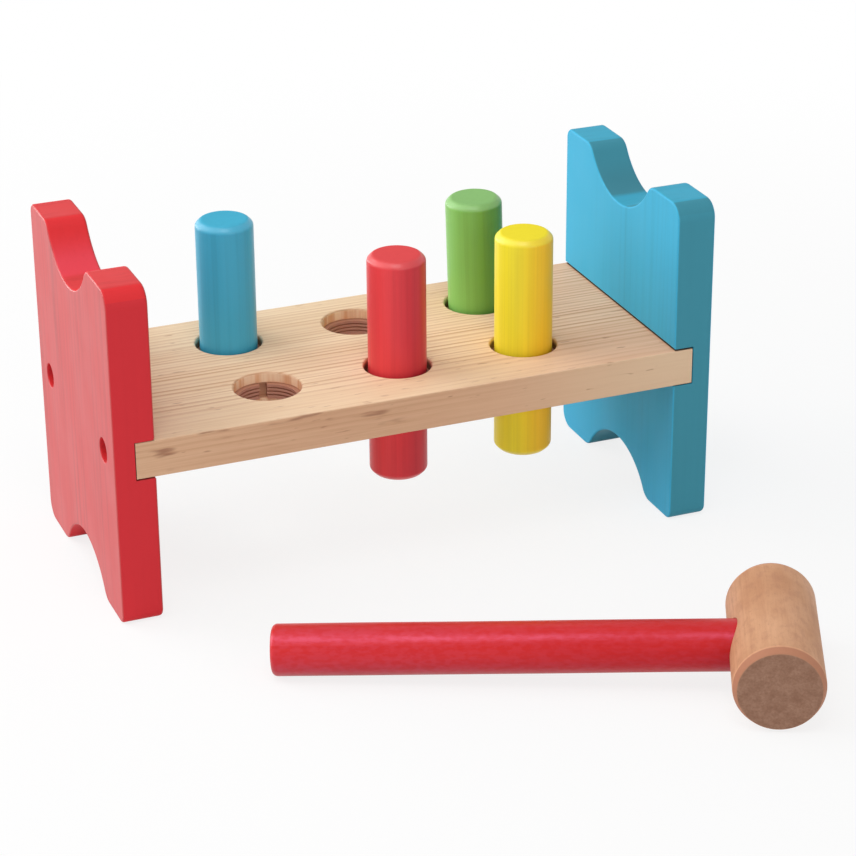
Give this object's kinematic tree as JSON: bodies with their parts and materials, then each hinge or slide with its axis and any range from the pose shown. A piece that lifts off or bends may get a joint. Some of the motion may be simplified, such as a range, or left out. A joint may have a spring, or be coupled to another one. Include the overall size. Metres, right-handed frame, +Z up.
{
  "type": "peg pounding bench",
  "caption": "Wooden pounding toy: a board with gripped round holes between two notched end panels, with pegs to knock through from either side and a mallet.",
  "frame": {"origin": "on the floor, below the middle of the set's footprint, which is the bench and the mallet lying in front of it; the bench's own middle is at y = 83.32 mm", "axes": "+X along the board towards the blue panel, +Y from the mallet to the back of the bench, +Z up"},
  "size_m": [0.24, 0.2686, 0.132],
  "materials": {
    "natural_board": "sanded, clear",
    "red_paint": "satin paint",
    "blue_paint": "satin paint",
    "grip_rubber": "matt",
    "peg_blue_paint": "satin paint",
    "peg_red_paint": "satin paint",
    "peg_green_paint": "satin paint",
    "peg_yellow_paint": "satin paint",
    "screw_steel": "zinc plated",
    "natural_head": "sanded, clear",
    "handle_paint": "gloss paint"
  },
  "bodies": {
    "bench": {"board": "natural_board", "left_end_panel": "red_paint", "right_end_panel": "blue_paint", "grip_ring_back_left": "grip_rubber", "grip_ring_back_middle": "grip_rubber", "grip_ring_back_right": "grip_rubber", "grip_ring_front_left": "grip_rubber", "grip_ring_front_middle": "grip_rubber", "grip_ring_front_right": "grip_rubber", "screw_left_front": "screw_steel", "screw_left_back": "screw_steel", "screw_right_front": "screw_steel", "screw_right_back": "screw_steel"},
    "blue_peg_body": {"blue_peg": "peg_blue_paint"},
    "red_peg_body": {"red_peg": "peg_red_paint"},
    "green_peg_body": {"green_peg": "peg_green_paint"},
    "yellow_peg_body": {"yellow_peg": "peg_yellow_paint"},
    "mallet": {"mallet_head": "natural_head", "mallet_handle": "handle_paint"}
  },
  "joints": [
    {"name": "blue_peg_slide", "type": "slide", "parent": "bench", "child": "blue_peg_body", "axis": [0, 0, 1], "range_m": [-0.0336, 0.0268]},
    {"name": "red_peg_slide", "type": "slide", "parent": "bench", "child": "red_peg_body", "axis": [0, 0, 1], "range_m": [-0.0279, 0.0325]},
    {"name": "green_peg_slide", "type": "slide", "parent": "bench", "child": "green_peg_body", "axis": [-0.0279, 0, 0.9996], "range_m": [-0.0275, 0.0325]},
    {"name": "yellow_peg_slide", "type": "slide", "parent": "bench", "child": "yellow_peg_body", "axis": [0, 0, 1], "range_m": [-0.0289, 0.0315]},
    {"name": "mallet_lift", "type": "slide", "parent": "bench", "child": "mallet", "axis": [0, 0, 1], "range_m": [0, 0.15]}
  ]
}
